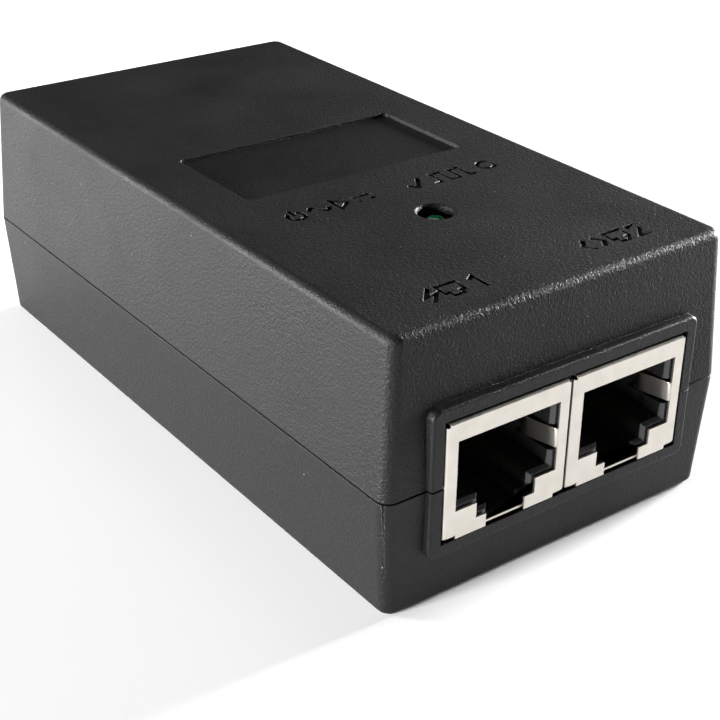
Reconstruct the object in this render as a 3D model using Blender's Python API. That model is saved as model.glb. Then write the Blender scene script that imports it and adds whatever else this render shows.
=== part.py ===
# PoE injector: a moulded mains adapter with two shielded eight-way sockets at the front and a
# mains inlet at the rear. Metres, +Z up. The sockets face -Y, and the origin lies on the
# standing surface under the middle of the case.

import bpy
import bmesh
from math import cos, pi, radians, sin, tan
from mathutils import Vector

for stale in list(bpy.data.objects):
    bpy.data.objects.remove(stale)

# Case, measured over the parting line, from which every wall leans in both up and down
case_width = 0.0460
case_length = 0.0869
case_height = 0.0310
parting_height = 0.0138
side_draft = radians(3.35)
end_draft_upper = radians(2.7)
end_draft_lower = radians(1.6)
corner_radius = 0.0015
top_edge_radius = 0.0009
bottom_edge_radius = 0.00065
wall = 0.0020
parting_gap = 0.0002
lip_height = 0.0015
lip_thickness = 0.0008
fit_gap = 0.0003
overrun = 0.0060  # how far a cutter passes the face that it cuts
small_overrun = 0.00075  # the same, where another wall is near

# Raised frames around the sockets and around the inlet
frame_proud = 0.00065
frame_margin = 0.00148
frame_corner_radius = 0.0010
frame_edge_radius = 0.00035

# Marks, label pocket and lamp hole on the top face
pocket_length = 0.0300
pocket_width = 0.0150
pocket_depth = 0.00045
pocket_corner_radius = 0.0006
pocket_setback = 0.04325  # from the front of the case, as are the next three
mark_height = 0.0029
mark_depth = 0.00035
mark_stroke = 0.00052
port_mark_setback = 0.00455
lamp_mark_setback = 0.02805
lamp_setback = 0.0219
lamp_hole_radius = 0.0020
lamp_hole_rim = 0.00028
lamp_sleeve_wall = 0.0009
lamp_sleeve_length = 0.0024

# Underside label
label_length = 0.0560
label_width = 0.0300
label_thickness = 0.0002
label_recess = 0.0004

# Circuit board and its posts
board_thickness = 0.0016
board_top = 0.0070
board_side_gap = 0.0009
board_end_gap = 0.0004154
post_size = 0.0030
post_x = 0.0170
post_ys = (-0.0265, 0.0250)

# Sockets: each has a folded metal shield round a plastic housing
socket_pitch = 0.01638
shield_width = 0.0161
shield_bottom = 0.00736
shield_top = 0.0209
shield_depth = 0.0213
sheet = 0.00025
shield_bend_radius = 0.00032
shield_proud = 0.0001
shield_slot_gap = 0.00018
bottom_wall_rise = 0.00014
bottom_wall_depth = 0.0050
corner_notch_width = 0.00155
corner_notch_height = 0.00045
relief_size = 0.0004
mouth_side = 0.00145  # of the front plate, at each side of the mouth
mouth_top = 0.01866
mouth_floor = 0.01064
step_half_width = 0.00387
step_floor = 0.00888
key_half_width = 0.00255
leg_width = 0.0016
leg_below_board = 0.0015
leg_setback = 0.0090
leg_stagger = 0.0030  # so that the legs of neighbouring walls have separate slots
housing_gap = 0.00018
housing_short = 0.0006
mouth_inset = 0.00062  # how much smaller the housing's cavity is than the shield's mouth
mouth_chamfer = 0.0004
key_floor = 0.00835
cavity_depth = 0.0143

# Sprung wires in each socket
wire_count = 8
wire_pitch = 0.00102
wire_thickness = 0.0004
wire_root_back = 0.0018
wire_root_drop = 0.0017
wire_length = 0.0110
wire_slope = radians(16.5)
wire_tip_length = 0.0012
wire_room = 0.0008

# Earthing fingers folded in from the sides of each mouth
finger_low = 0.0133
finger_high = 0.0155
finger_thickness = 0.0002
finger_gap = 0.0001
finger_apex_back = 0.0038
finger_apex_in = 0.00085
finger_tip_back = 0.0050
finger_tip_in = 0.0004
finger_room = 0.0008

# Mains inlet
inlet_height = 0.0192
inlet_width = 0.0270
inlet_centre_z = 0.0169
inlet_depth = 0.0190
inlet_wall = 0.0013
inlet_cavity_depth = 0.0160
inlet_chamfer = 0.0040
inlet_gap = 0.0002
pin_thickness = 0.0020
pin_height = 0.0040
pin_spread = 0.0070
pin_stagger = 0.0020
pin_recess = 0.0015
pin_tail = 0.0050
pin_gap = 0.0001

# Lamp
lamp_radius = 0.0015
lamp_flange_radius = 0.0018
lamp_flange_height = 0.0010
lamp_height = 0.0053
lamp_sunk = 0.0013
lead_size = 0.00045
lead_spacing = 0.00254

part_gap = 0.0003  # between a part on the board and the board
corner_steps = 6
edge_steps = 4
round_steps = 32


def surface(name, colour, roughness, metallic=0.0):
    made = bpy.data.materials.new(name)
    made.use_nodes = True
    made.diffuse_color = (*colour, 1.0)
    shader = made.node_tree.nodes["Principled BSDF"]
    shader.inputs["Base Color"].default_value = (*colour, 1.0)
    shader.inputs["Roughness"].default_value = roughness
    shader.inputs["Metallic"].default_value = metallic
    return made


def rounded_loop(half_x, half_y, radius, steps=corner_steps):
    points = []
    for corner, (side_x, side_y) in enumerate(((1, 1), (-1, 1), (-1, -1), (1, -1))):
        for step in range(steps + 1):
            angle = (corner + step / steps) * pi / 2
            x = side_x * (half_x - radius) + radius * cos(angle)
            y = side_y * (half_y - radius) + radius * sin(angle)
            points.append((x, y))
    return points


def in_space(point, height, axis):
    first, second = point
    if axis == "X":
        return (height, first, second)
    if axis == "Y":
        return (first, height, second)
    return (first, second, height)


def add_stack(mesh, rings):
    # Closed body through rings of equally many points, each a (points, height, axis)
    loops = [[mesh.verts.new(in_space(p, height, axis)) for p in points] for points, height, axis in rings]
    count = len(loops[0])
    for lower, upper in zip(loops, loops[1:]):
        for here in range(count):
            after = (here + 1) % count
            mesh.faces.new((lower[here], lower[after], upper[after], upper[here]))
    mesh.faces.new(loops[0])
    mesh.faces.new(loops[-1])


def add_prism(mesh, points, low, high, axis):
    add_stack(mesh, [(points, low, axis), (points, high, axis)])


def add_box(mesh, low, high):
    x0, y0, z0 = low
    x1, y1, z1 = high
    add_prism(mesh, [(x0, y0), (x1, y0), (x1, y1), (x0, y1)], z0, z1, "Z")


def add_turned(mesh, profile, centre, steps=round_steps):
    # Closed body turned round a vertical axis through centre; profile holds (radius, height)
    rings = []
    for radius, height in profile:
        points = []
        for step in range(steps):
            angle = 2 * pi * step / steps
            points.append((centre[0] + radius * cos(angle), centre[1] + radius * sin(angle)))
        rings.append((points, height, "Z"))
    add_stack(mesh, rings)


def add_stroke(mesh, points, width, low, high, closed=False):
    # Flat stroke of even width along a line of points
    path = [Vector(point) for point in points]
    count = len(path)
    left, right = [], []
    for here in range(count):
        before = path[here - 1] if here or closed else None
        after = path[(here + 1) % count] if here < count - 1 or closed else None
        into = (path[here] - before).normalized() if before else None
        out = (after - path[here]).normalized() if after else None
        into, out = into or out, out or into
        across = Vector((-(into + out).y, (into + out).x)).normalized()
        reach = width / 2 / max(across.dot(Vector((-out.y, out.x))), 0.35)
        left.append(path[here] + across * reach)
        right.append(path[here] - across * reach)
    rows = []
    for side in (left, right):
        for height in (low, high):
            rows.append([mesh.verts.new((p.x, p.y, height)) for p in side])
    left_low, left_high, right_low, right_high = rows
    for here in range(count if closed else count - 1):
        after = (here + 1) % count
        for first, second in ((left_low, right_low), (right_low, right_high),
                              (right_high, left_high), (left_high, left_low)):
            mesh.faces.new((first[here], first[after], second[after], second[here]))
    if not closed:
        for end in (0, -1):
            mesh.faces.new((left_low[end], right_low[end], right_high[end], left_high[end]))


def finish(name, mesh, material, origin=(0, 0, 0), smooth=None):
    bmesh.ops.recalc_face_normals(mesh, faces=mesh.faces[:])
    data = bpy.data.meshes.new(name)
    bmesh.ops.translate(mesh, verts=mesh.verts[:], vec=-Vector(origin))
    mesh.to_mesh(data)
    mesh.free()
    made = bpy.data.objects.new(name, data)
    made.location = origin
    bpy.context.scene.collection.objects.link(made)
    if material:
        data.materials.append(material)
    if smooth:
        data.shade_smooth()
        data.set_sharp_from_angle(angle=smooth)
    return made


def helper(name, mesh):
    made = finish(name, mesh, None)
    made.hide_render = True
    made.display_type = "WIRE"
    return made


def boolean(target, other, operation="DIFFERENCE"):
    modifier = target.modifiers.new(other.name, "BOOLEAN")
    modifier.operation = operation
    modifier.solver = "EXACT"
    modifier.object = other


case_black = surface("moulded black plastic", (0.016, 0.016, 0.017), 0.55)
socket_black = surface("glass-filled black plastic", (0.012, 0.012, 0.013), 0.4)
plated_steel = surface("tin-plated steel", (0.78, 0.77, 0.74), 0.25, 1.0)
gold_wire = surface("gold-plated bronze", (0.83, 0.62, 0.28), 0.25, 1.0)
brass_pin = surface("nickel-plated brass", (0.72, 0.70, 0.66), 0.25, 1.0)
lamp_green = surface("green epoxy", (0.02, 0.35, 0.12), 0.1)
board_green = surface("board laminate", (0.02, 0.12, 0.05), 0.5)
label_silver = surface("silver label film", (0.45, 0.45, 0.46), 0.4)
ferrite_grey = surface("ferrite", (0.05, 0.05, 0.055), 0.6)
tape_yellow = surface("polyester tape", (0.75, 0.55, 0.08), 0.4)
copper = surface("enamelled copper", (0.55, 0.22, 0.08), 0.3, 1.0)
sleeve_black = surface("capacitor sleeve", (0.02, 0.025, 0.05), 0.35)
epoxy_black = surface("epoxy package", (0.02, 0.02, 0.02), 0.5)
sink_aluminium = surface("aluminium sheet", (0.7, 0.7, 0.72), 0.4, 1.0)
box_yellow = surface("film capacitor case", (0.7, 0.5, 0.06), 0.4)
fuse_brown = surface("fuse body", (0.12, 0.05, 0.03), 0.45)

front = -(case_length / 2 + frame_proud + shield_proud)
rear = -front
pocket_y = pocket_setback - case_length / 2
port_mark_y = port_mark_setback - case_length / 2
lamp_mark_y = lamp_mark_setback - case_length / 2
lamp_y = lamp_setback - case_length / 2
mouth_half_width = shield_width / 2 - mouth_side


# Case shells

def half_sizes(height):
    lean = abs(height - parting_height)
    end_draft = end_draft_upper if height > parting_height else end_draft_lower
    return case_width / 2 - lean * tan(side_draft), case_length / 2 - lean * tan(end_draft)


def case_ring(height, inset):
    half_x, half_y = half_sizes(height)
    radius = max(corner_radius - inset, 0.0003)
    return (rounded_loop(half_x - inset, half_y - inset, radius), height, "Z")


def edge_levels(radius):
    # (distance below the face, inset) along a quarter round, from the wall to the face
    for step in range(edge_steps + 1):
        angle = step / edge_steps * pi / 2
        yield radius * (1 - sin(angle)), radius * (1 - cos(angle))


def socket_window():
    # low and high corner, in x and z, of the cut-out that both sockets fill
    half = socket_pitch / 2 + shield_width / 2 + shield_slot_gap
    return (-half, shield_bottom - shield_slot_gap), (half, shield_top + 1.7 * shield_slot_gap)


def inlet_window():
    half_x = inlet_width / 2 + inlet_gap
    half_z = inlet_height / 2 + inlet_gap
    return (-half_x, inlet_centre_z - half_z), (half_x, inlet_centre_z + half_z)


def raised_frame(name, window, side):
    # The rounded slab around a window
    (x0, z0), (x1, z1) = window
    half_x = (x1 - x0) / 2 + frame_margin
    half_z = (z1 - z0) / 2 + frame_margin
    middle = (z0 + z1) / 2
    face = case_length / 2 + frame_proud
    levels = [(case_length / 2 - wall / 2, 0.0)]
    levels += [(face - down, inset) for down, inset in edge_levels(frame_edge_radius)]
    rings = []
    for reach, inset in levels:
        loop = rounded_loop(half_x - inset, half_z - inset, frame_corner_radius - inset)
        rings.append(([(x, z + middle) for x, z in loop], side * reach, "Y"))
    mesh = bmesh.new()
    add_stack(mesh, rings)
    return helper(name, mesh)


def outer_body(name, upper):
    # The whole outer shape with its raised frames, then cut at the parting line
    mesh = bmesh.new()
    rings = [case_ring(down, inset) for down, inset in reversed(list(edge_levels(bottom_edge_radius)))]
    rings.append(case_ring(parting_height, 0.0))
    rings += [case_ring(case_height - down, inset) for down, inset in edge_levels(top_edge_radius)]
    add_stack(mesh, rings)
    body = finish(name, mesh, case_black)
    boolean(body, raised_frame(f"{name}_front_frame", socket_window(), -1), "UNION")
    boolean(body, raised_frame(f"{name}_rear_frame", inlet_window(), 1), "UNION")

    low, high = -overrun, parting_height + parting_gap / 2
    if not upper:
        low, high = parting_height - parting_gap / 2, case_height + overrun
    mesh = bmesh.new()
    reach_x, reach_y = case_width / 2 + overrun, case_length / 2 + overrun
    add_box(mesh, (-reach_x, -reach_y, low), (reach_x, reach_y, high))
    boolean(body, helper(f"{name}_other_half", mesh))
    return body


def window_cutter(name, window, side):
    (x0, z0), (x1, z1) = window
    near, far = sorted((side * (case_length / 2 - wall - small_overrun), side * (case_length / 2 + overrun)))
    mesh = bmesh.new()
    add_box(mesh, (x0, near, z0), (x1, far, z1))
    return helper(name, mesh)


def wave(width, middle, reach, steps=10):
    return [(width * step / steps, middle + reach * sin(2 * pi * step / steps)) for step in range(steps + 1)]


def circle(x, y, radius, start=0.0, end=2 * pi, steps=14, closed=True):
    last = steps if closed else steps + 1
    return [(x + radius * cos(start + (end - start) * step / steps),
             y + radius * sin(start + (end - start) * step / steps)) for step in range(last)]


def mark_strokes():
    # Each sign is (left edge, baseline, strokes); a stroke is (points, closed) in shares of the height
    bolt = [([(0.62, 1.0), (0.12, 0.44), (0.66, 0.56), (0.16, 0.0)], False)]
    port = [([(0.08, 0.32), (0.08, 0.92), (0.92, 0.92), (0.92, 0.32), (0.72, 0.32),
              (0.72, 0.08), (0.28, 0.08), (0.28, 0.32)], True)]
    one = [([(0.08, 0.72), (0.36, 0.92), (0.36, 0.0)], False)]
    two = [([(0.08, 0.70), (0.18, 0.90), (0.50, 0.90), (0.58, 0.66), (0.10, 0.08), (0.68, 0.08)], False)]
    arrows = [([(0.42, 0.90), (0.10, 0.50), (0.42, 0.10)], False),
              ([(0.78, 0.90), (1.10, 0.50), (0.78, 0.10)], False)]
    power = [(circle(0.45, 0.42, 0.34, radians(120), radians(420), 12, False), False),
             ([(0.45, 1.0), (0.45, 0.48)], False)]
    mains = [(wave(0.90, 0.5, 0.24), False)]
    toward = [([(0.10, 0.92), (0.62, 0.50), (0.10, 0.08)], True)]
    steady = [([(0.0, 0.70), (0.84, 0.70)], False), ([(0.0, 0.30), (0.24, 0.30)], False),
              ([(0.60, 0.30), (0.84, 0.30)], False)]
    tick = [([(0.05, 0.46), (0.32, 0.10), (0.86, 0.92)], False)]
    pulses = [([(0.0, 0.08), (0.38, 0.08), (0.38, 0.92), (0.84, 0.92), (0.84, 0.08), (1.30, 0.08),
                (1.30, 0.92), (1.76, 0.92), (1.76, 0.08), (2.14, 0.08)], False)]
    lit = [(circle(0.42, 0.5, 0.36), True)]
    signs = [(-0.0144, port_mark_y, bolt), (-0.0121, port_mark_y, port), (-0.0083, port_mark_y, one),
             (0.0063, port_mark_y, arrows), (0.0101, port_mark_y, port), (0.0133, port_mark_y, two),
             (-0.0143, lamp_mark_y, power), (-0.0112, lamp_mark_y, mains),
             (-0.0080, lamp_mark_y, toward), (-0.0052, lamp_mark_y, steady),
             (0.0019, lamp_mark_y, tick), (0.0051, lamp_mark_y, pulses), (0.0123, lamp_mark_y, lit)]
    for left, base, strokes in signs:
        for points, closed in strokes:
            yield [(left + x * mark_height, base + y * mark_height) for x, y in points], closed


def top_cover():
    cover = outer_body("top_cover", True)

    ceiling = case_height - wall
    mesh = bmesh.new()
    add_stack(mesh, [case_ring(parting_height - overrun, wall), case_ring(ceiling, wall)])
    boolean(cover, helper("cover_hollow", mesh))

    skin = wall - lip_thickness - fit_gap
    mesh = bmesh.new()
    add_stack(mesh, [case_ring(parting_height - overrun, skin),
                     case_ring(parting_height + lip_height + fit_gap, skin)])
    boolean(cover, helper("cover_rabbet", mesh))

    sleeve = lamp_hole_radius + lamp_sleeve_wall
    mesh = bmesh.new()
    add_turned(mesh, [(sleeve, ceiling - lamp_sleeve_length), (sleeve, ceiling + wall / 2)], (0, lamp_y))
    boolean(cover, helper("lamp_sleeve", mesh), "UNION")

    mesh = bmesh.new()
    add_turned(mesh, [
        (lamp_hole_radius, ceiling - lamp_sleeve_length - overrun),
        (lamp_hole_radius, case_height - lamp_hole_rim),
        (lamp_hole_radius + 2 * lamp_hole_rim, case_height + lamp_hole_rim)], (0, lamp_y))
    boolean(cover, helper("lamp_hole", mesh))

    mesh = bmesh.new()
    loop = rounded_loop(pocket_length / 2, pocket_width / 2, pocket_corner_radius)
    add_prism(mesh, [(x, y + pocket_y) for x, y in loop], case_height - pocket_depth,
              case_height + overrun, "Z")
    boolean(cover, helper("label_pocket", mesh))

    for index, (points, closed) in enumerate(mark_strokes()):
        mesh = bmesh.new()
        add_stroke(mesh, points, mark_stroke, case_height - mark_depth, case_height + overrun, closed)
        boolean(cover, helper(f"top_mark_{index}", mesh))

    boolean(cover, window_cutter("cover_socket_window", socket_window(), -1))
    boolean(cover, window_cutter("cover_inlet_window", inlet_window(), 1))
    return cover


def bottom_case():
    case = outer_body("bottom_case", False)

    mesh = bmesh.new()
    lip_inset = wall - lip_thickness
    add_stack(mesh, [case_ring(parting_height - wall, lip_inset),
                     case_ring(parting_height + lip_height, lip_inset)])
    boolean(case, helper("case_lip", mesh), "UNION")

    mesh = bmesh.new()
    add_stack(mesh, [case_ring(wall, wall), case_ring(parting_height + overrun, wall)])
    boolean(case, helper("case_hollow", mesh))

    post_top = board_top - board_thickness - part_gap
    for row, y in enumerate(post_ys):
        for side in (-1, 1):
            mesh = bmesh.new()
            add_box(mesh, (side * post_x - post_size / 2, y - post_size / 2, wall / 2),
                    (side * post_x + post_size / 2, y + post_size / 2, post_top))
            boolean(case, helper(f"board_post_{row}_{'left' if side < 0 else 'right'}", mesh), "UNION")

    mesh = bmesh.new()
    loop = rounded_loop(label_width / 2 + fit_gap, label_length / 2 + fit_gap, corner_radius)
    add_prism(mesh, loop, -overrun, label_recess, "Z")
    boolean(case, helper("label_recess", mesh))

    boolean(case, window_cutter("case_socket_window", socket_window(), -1))
    boolean(case, window_cutter("case_inlet_window", inlet_window(), 1))
    return case


def rating_label():
    mesh = bmesh.new()
    loop = rounded_loop(label_width / 2, label_length / 2, corner_radius)
    top = label_recess - fit_gap / 6
    add_prism(mesh, loop, top - label_thickness, top, "Z")
    return finish("rating_label", mesh, label_silver)


# Sockets

def mouth_outline(inset=0.0, floor=None):
    # The stepped mouth in x and z; the key slot runs out through the bottom unless a floor is given
    half, step, key = mouth_half_width - inset, step_half_width - inset, key_half_width - inset
    top, main, ledge = mouth_top - inset, mouth_floor + inset, step_floor + inset
    low = shield_bottom - small_overrun if floor is None else floor
    right = [(half, main), (half, top)]
    lower = [(key, low), (key, ledge), (step, ledge), (step, main)]
    return lower + right + [(-x, z) for x, z in reversed(lower + right)]


def leg_positions(centre_x):
    wall_x = shield_width / 2 - sheet / 2
    return [(centre_x - wall_x, front + leg_setback),
            (centre_x + wall_x, front + leg_setback + leg_stagger)]


def socket_shield(name, centre_x):
    half = shield_width / 2
    low = shield_bottom + bottom_wall_rise
    back = front + shield_depth
    bend = shield_bend_radius
    mesh = bmesh.new()
    # Folded body: the top corners are rounded along its length, and the front edges all round
    rings = []
    middle = (low + shield_top) / 2
    for down, inset in reversed(list(edge_levels(bend))):
        loop = rounded_loop(half - inset, (shield_top - low) / 2 - inset, bend, 3)
        rings.append(([(x + centre_x, z + middle) for x, z in loop], front + down, "Y"))
    loop = rounded_loop(half, (shield_top - low) / 2, bend, 3)
    rings.append(([(x + centre_x, z + middle) for x, z in loop], back, "Y"))
    add_stack(mesh, rings)
    shield = finish(f"{name}_shield", mesh, plated_steel)

    mesh = bmesh.new()
    tab_half = half - corner_notch_width
    add_box(mesh, (centre_x - tab_half, front, shield_bottom),
            (centre_x + tab_half, front + sheet, mouth_floor))
    boolean(shield, helper(f"{name}_shield_tabs", mesh), "UNION")

    mesh = bmesh.new()
    for x, y in leg_positions(centre_x):
        add_box(mesh, (x - sheet / 2, y - leg_width / 2, board_top - board_thickness - leg_below_board),
                (x + sheet / 2, y + leg_width / 2, low + 4 * sheet))
    boolean(shield, helper(f"{name}_shield_legs", mesh), "UNION")

    mesh = bmesh.new()
    add_box(mesh, (centre_x - half + sheet, front + sheet, low + sheet),
            (centre_x + half - sheet, back - sheet, shield_top - sheet))
    boolean(shield, helper(f"{name}_shield_hollow", mesh))

    mesh = bmesh.new()
    add_box(mesh, (centre_x - half + 2 * sheet, front + bottom_wall_depth, low - small_overrun),
            (centre_x + half - 2 * sheet, back - 2 * sheet, low + 2 * sheet))
    boolean(shield, helper(f"{name}_shield_underside", mesh))

    mesh = bmesh.new()
    add_prism(mesh, [(x + centre_x, z) for x, z in mouth_outline()], front - sheet, front + 1.5 * sheet, "Y")
    boolean(shield, helper(f"{name}_shield_mouth", mesh))

    mesh = bmesh.new()
    for side in (-1, 1):
        edge = centre_x + side * half
        outer = edge + side * sheet
        notch = edge - side * corner_notch_width
        relief = edge - side * relief_size
        add_box(mesh, (min(notch, outer), front - sheet, low - sheet),
                (max(notch, outer), front + sheet, shield_bottom + corner_notch_height))
        add_box(mesh, (min(relief, outer), front - sheet, shield_top - relief_size),
                (max(relief, outer), front + 2 * relief_size, shield_top + sheet))
    boolean(shield, helper(f"{name}_shield_notches", mesh))
    return shield


def socket_housing(name, centre_x):
    half = shield_width / 2 - sheet - housing_gap
    low = shield_bottom + bottom_wall_rise + sheet + housing_gap
    high = shield_top - sheet - housing_gap
    face = front + sheet + housing_gap
    back = front + shield_depth - sheet - housing_short
    mesh = bmesh.new()
    add_box(mesh, (centre_x - half, face, low), (centre_x + half, back, high))
    housing = finish(f"{name}_housing", mesh, socket_black)

    end = face + cavity_depth
    rings = []
    for y, inset in ((face - sheet, mouth_inset - mouth_chamfer), (face, mouth_inset - mouth_chamfer),
                     (face + mouth_chamfer, mouth_inset), (end, mouth_inset)):
        outline = mouth_outline(inset, key_floor - mouth_inset + inset)
        rings.append(([(x + centre_x, z) for x, z in outline], y, "Y"))
    mesh = bmesh.new()
    add_stack(mesh, rings)
    boolean(housing, helper(f"{name}_cavity", mesh))

    room_half = wire_pitch * (wire_count - 1) / 2 + wire_thickness / 2 + wire_room
    mesh = bmesh.new()
    add_box(mesh, (centre_x - room_half, face + wire_room, mouth_top - 2 * mouth_inset),
            (centre_x + room_half, end, high - wire_room))
    boolean(housing, helper(f"{name}_wire_room", mesh))

    reach = mouth_half_width + finger_room
    mesh = bmesh.new()
    add_box(mesh, (centre_x - reach, face - sheet, finger_low - finger_room / 2),
            (centre_x + reach, front + finger_tip_back + finger_room, finger_high + finger_room / 2))
    boolean(housing, helper(f"{name}_finger_room", mesh))
    return housing


def wire_hinge_height():
    return shield_top - sheet - wire_root_drop


def socket_wires(name, centre_x):
    # Wires lean down from a root near the mouth; they share one hinge line
    y = front + wire_root_back
    z = wire_hinge_height()
    bend_y = y + wire_length * cos(wire_slope)
    bend_z = z - wire_length * sin(wire_slope)
    path = [(y, z), (bend_y, bend_z), (bend_y + wire_tip_length, bend_z + wire_tip_length * 0.12)]
    half = wire_thickness / 2
    below = [(a, b - half) for a, b in path]
    above = [(a, b + half) for a, b in path]
    for index in range(wire_count):
        x = centre_x + (index - (wire_count - 1) / 2) * wire_pitch
        mesh = bmesh.new()
        add_prism(mesh, below + above[::-1], x - half, x + half, "X")
        finish(f"{name}_contact_{index + 1}", mesh, gold_wire, (centre_x, y, z))


def socket_fingers(name, centre_x):
    for word, side in (("left", -1), ("right", 1)):
        root = mouth_half_width - finger_gap
        line = [(root, 0.00005), (root, sheet), (root - finger_apex_in, finger_apex_back),
                (root - finger_tip_in, finger_tip_back)]
        outer = [(side * x + centre_x, front + y) for x, y in line]
        inner = [(side * (x - finger_thickness) + centre_x, front + y) for x, y in line]
        mesh = bmesh.new()
        add_prism(mesh, outer + inner[::-1], finger_low, finger_high, "Z")
        finish(f"{name}_finger_{word}", mesh, plated_steel,
               (centre_x + side * root, front + sheet / 2, (finger_low + finger_high) / 2))


def circuit_board():
    height = board_top - board_thickness
    half_x = half_sizes(height)[0] - wall - board_side_gap
    half_y = half_sizes(height)[1] - wall - board_end_gap
    mesh = bmesh.new()
    add_box(mesh, (-half_x, -half_y, height), (half_x, half_y, board_top))
    board = finish("circuit_board", mesh, board_green)
    mesh = bmesh.new()
    for side in (-1, 1):
        for x, y in leg_positions(side * socket_pitch / 2):
            reach_x, reach_y = sheet / 2 + fit_gap / 2, leg_width / 2 + fit_gap
            add_box(mesh, (x - reach_x, y - reach_y, height - overrun),
                    (x + reach_x, y + reach_y, board_top + small_overrun))
    boolean(board, helper("leg_slots", mesh))
    return board


# Mains inlet

def inlet_outline(half_x, half_z, chamfer):
    low, high = inlet_centre_z - half_z, inlet_centre_z + half_z
    return [(-half_x, low), (half_x, low), (half_x, high - chamfer), (half_x - chamfer, high),
            (chamfer - half_x, high), (-half_x, high - chamfer)]


def pin_centres():
    return {"line": (-pin_spread, inlet_centre_z - pin_stagger),
            "neutral": (pin_spread, inlet_centre_z - pin_stagger),
            "earth": (0.0, inlet_centre_z + pin_stagger)}


def mains_inlet():
    half_x, half_z = inlet_width / 2, inlet_height / 2
    mesh = bmesh.new()
    corner = [(-half_x, inlet_centre_z - half_z), (half_x, inlet_centre_z - half_z),
              (half_x, inlet_centre_z + half_z), (-half_x, inlet_centre_z + half_z)]
    add_prism(mesh, corner, rear - inlet_depth, rear, "Y")
    body = finish("inlet_body", mesh, socket_black)

    mesh = bmesh.new()
    outline = inlet_outline(half_x - inlet_wall, half_z - inlet_wall, inlet_chamfer)
    add_prism(mesh, outline, rear - inlet_cavity_depth, rear + small_overrun, "Y")
    boolean(body, helper("inlet_cavity", mesh))

    mesh = bmesh.new()
    for x, z in pin_centres().values():
        reach_x, reach_z = pin_thickness / 2 + pin_gap, pin_height / 2 + pin_gap
        add_box(mesh, (x - reach_x, rear - inlet_depth - small_overrun, z - reach_z),
                (x + reach_x, rear - inlet_cavity_depth + small_overrun, z + reach_z))
    boolean(body, helper("inlet_pin_holes", mesh))

    for word, (x, z) in pin_centres().items():
        mesh = bmesh.new()
        add_box(mesh, (x - pin_thickness / 2, rear - inlet_depth - pin_tail, z - pin_height / 2),
                (x + pin_thickness / 2, rear - pin_recess, z + pin_height / 2))
        pin = finish(f"inlet_pin_{word}", mesh, brass_pin)
        bevel = pin.modifiers.new("Bevel", "BEVEL")
        bevel.width = pin_thickness / 4
        bevel.segments = 2


# Lamp

def status_lamp():
    top = case_height - lamp_sunk
    base = top - lamp_height
    shoulder = top - lamp_radius
    mesh = bmesh.new()
    profile = [(lamp_flange_radius, base), (lamp_flange_radius, base + lamp_flange_height),
               (lamp_radius, base + lamp_flange_height)]
    for step in range(7):
        angle = step / 7 * pi / 2
        profile.append((lamp_radius * cos(angle), shoulder + lamp_radius * sin(angle)))
    profile.append((lamp_radius * cos(0.95 * pi / 2), top))
    add_turned(mesh, profile, (0, lamp_y), 24)
    finish("status_lamp", mesh, lamp_green, smooth=radians(40))
    for word, side in (("anode", -1), ("cathode", 1)):
        x = side * lead_spacing / 2
        mesh = bmesh.new()
        add_box(mesh, (x - lead_size / 2, lamp_y - lead_size / 2, board_top + part_gap),
                (x + lead_size / 2, lamp_y + lead_size / 2, base - part_gap / 3))
        finish(f"lamp_lead_{word}", mesh, plated_steel)


# Power parts on the board, which the case hides

def block(name, centre, size, material):
    x, y = centre
    mesh = bmesh.new()
    add_box(mesh, (x - size[0] / 2, y - size[1] / 2, board_top + part_gap),
            (x + size[0] / 2, y + size[1] / 2, board_top + part_gap + size[2]))
    made = finish(name, mesh, material)
    bevel = made.modifiers.new("Bevel", "BEVEL")
    bevel.width = 0.0003
    return made


def can(name, centre, radius, height, material, groove=0.0004):
    base = board_top + part_gap
    mesh = bmesh.new()
    add_turned(mesh, [
        (radius - groove, base), (radius, base + groove), (radius, base + 4 * groove),
        (radius - groove, base + 5 * groove), (radius, base + 6 * groove), (radius, base + height - groove),
        (radius - groove, base + height)], centre, 28)
    return finish(name, mesh, material, smooth=radians(40))


def transformer(centre, core=(0.0190, 0.0060, 0.0170), window=(0.0120, 0.0100), gap=0.0003):
    # A rectangular core seen from the front, with a taped coil round its middle leg
    x, y = centre
    base = board_top + part_gap
    leg = (core[0] - window[0]) / 4
    yoke = (core[2] - window[1]) / 2
    mesh = bmesh.new()
    add_box(mesh, (x - core[0] / 2, y - core[1] / 2, base),
            (x + core[0] / 2, y + core[1] / 2, base + core[2]))
    body = finish("transformer_core", mesh, ferrite_grey)
    mesh = bmesh.new()
    for side in (-1, 1):
        inner, outer = sorted((x + side * leg, x + side * (leg + window[0] / 2)))
        add_box(mesh, (inner, y - core[1], base + yoke), (outer, y + core[1], base + yoke + window[1]))
    boolean(body, helper("core_windows", mesh))

    low, high = base + yoke + gap, base + yoke + window[1] - gap
    mesh = bmesh.new()
    loop = rounded_loop(leg + window[0] / 2 - gap, core[1] / 2 + window[0] / 2 - gap, 0.0030, 4)
    add_prism(mesh, [(a + x, b + y) for a, b in loop], low, high, "Z")
    coil = finish("transformer_coil", mesh, tape_yellow)
    mesh = bmesh.new()
    add_box(mesh, (x - leg - gap, y - core[1] / 2 - gap, low - overrun),
            (x + leg + gap, y + core[1] / 2 + gap, high + overrun))
    boolean(coil, helper("coil_bore", mesh))


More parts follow.
